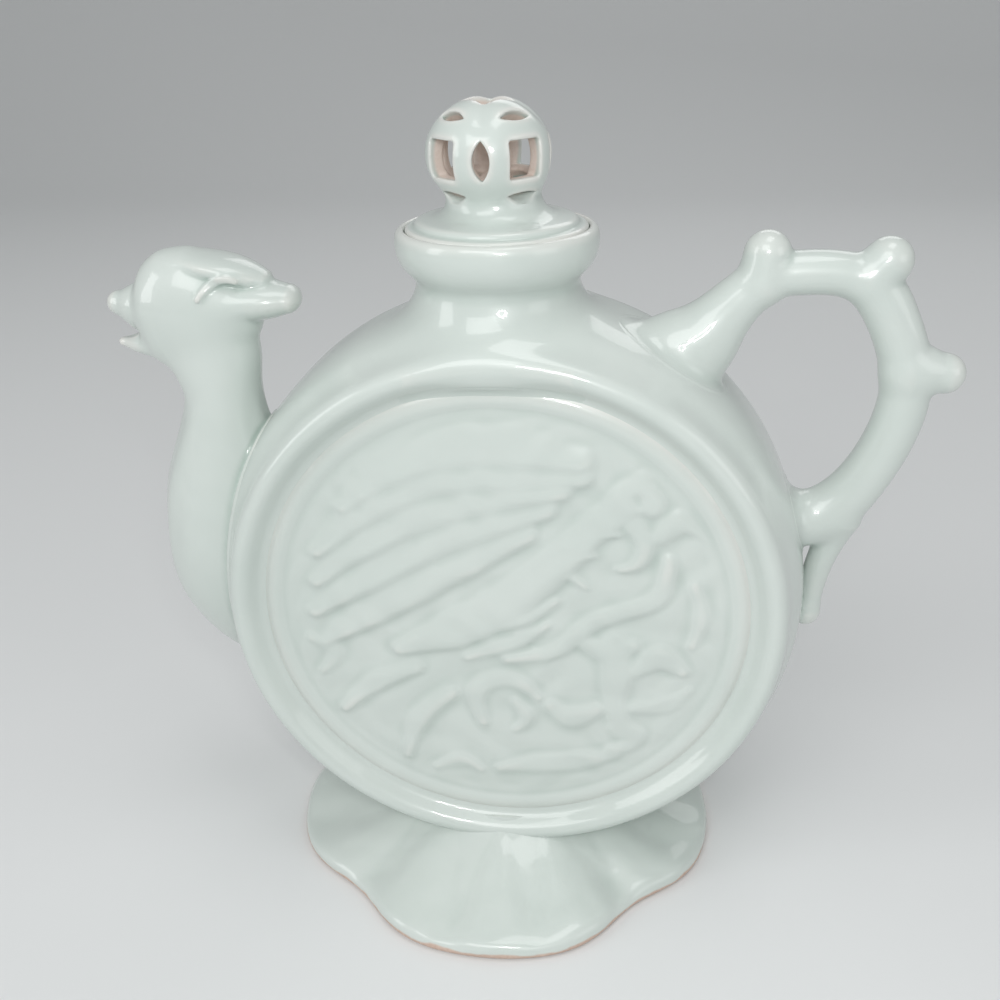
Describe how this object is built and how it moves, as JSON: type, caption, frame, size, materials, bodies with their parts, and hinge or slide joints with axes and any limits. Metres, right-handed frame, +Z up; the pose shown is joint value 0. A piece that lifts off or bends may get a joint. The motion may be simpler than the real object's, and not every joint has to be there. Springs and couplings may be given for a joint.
{
  "type": "teapot",
  "caption": "Flat round flask-shaped teapot on a lobed foot, with a bird-head spout, a loop handle and a lift-off lid under a pierced ball.",
  "frame": {"origin": "on the surface the foot stands on, midway along the pot's length from beak to outer handle knob, in the seam plane", "axes": "+X from the spout towards the handle, +Y from the front face to the back face, +Z up"},
  "size_m": [0.2182, 0.12, 0.2105],
  "materials": {
    "celadon_glaze": "pale grey-green gloss glaze, thin and paler on edges, pooled greener in recesses"
  },
  "bodies": {
    "pot": {"front_shell": "celadon_glaze", "back_shell": "celadon_glaze", "front_medallion": "celadon_glaze", "back_medallion": "celadon_glaze", "foot": "celadon_glaze", "neck_collar": "celadon_glaze", "mouth_ring": "celadon_glaze", "spout_neck": "celadon_glaze", "bird_head": "celadon_glaze", "crest": "celadon_glaze", "nape_tuft": "celadon_glaze", "handle_loop": "celadon_glaze", "handle_knob_upper": "celadon_glaze", "handle_knob_corner": "celadon_glaze", "handle_knob_outer": "celadon_glaze", "handle_tail": "celadon_glaze", "tail_bead": "celadon_glaze"},
    "lid": {"lid_disc": "celadon_glaze", "lid_flange": "celadon_glaze", "finial_stem": "celadon_glaze", "finial_ball": "celadon_glaze"}
  },
  "joints": [
    {"name": "lid_lift", "type": "slide", "parent": "pot", "child": "lid", "axis": [0, 0, 1], "range_m": [0, 0.06]}
  ]
}
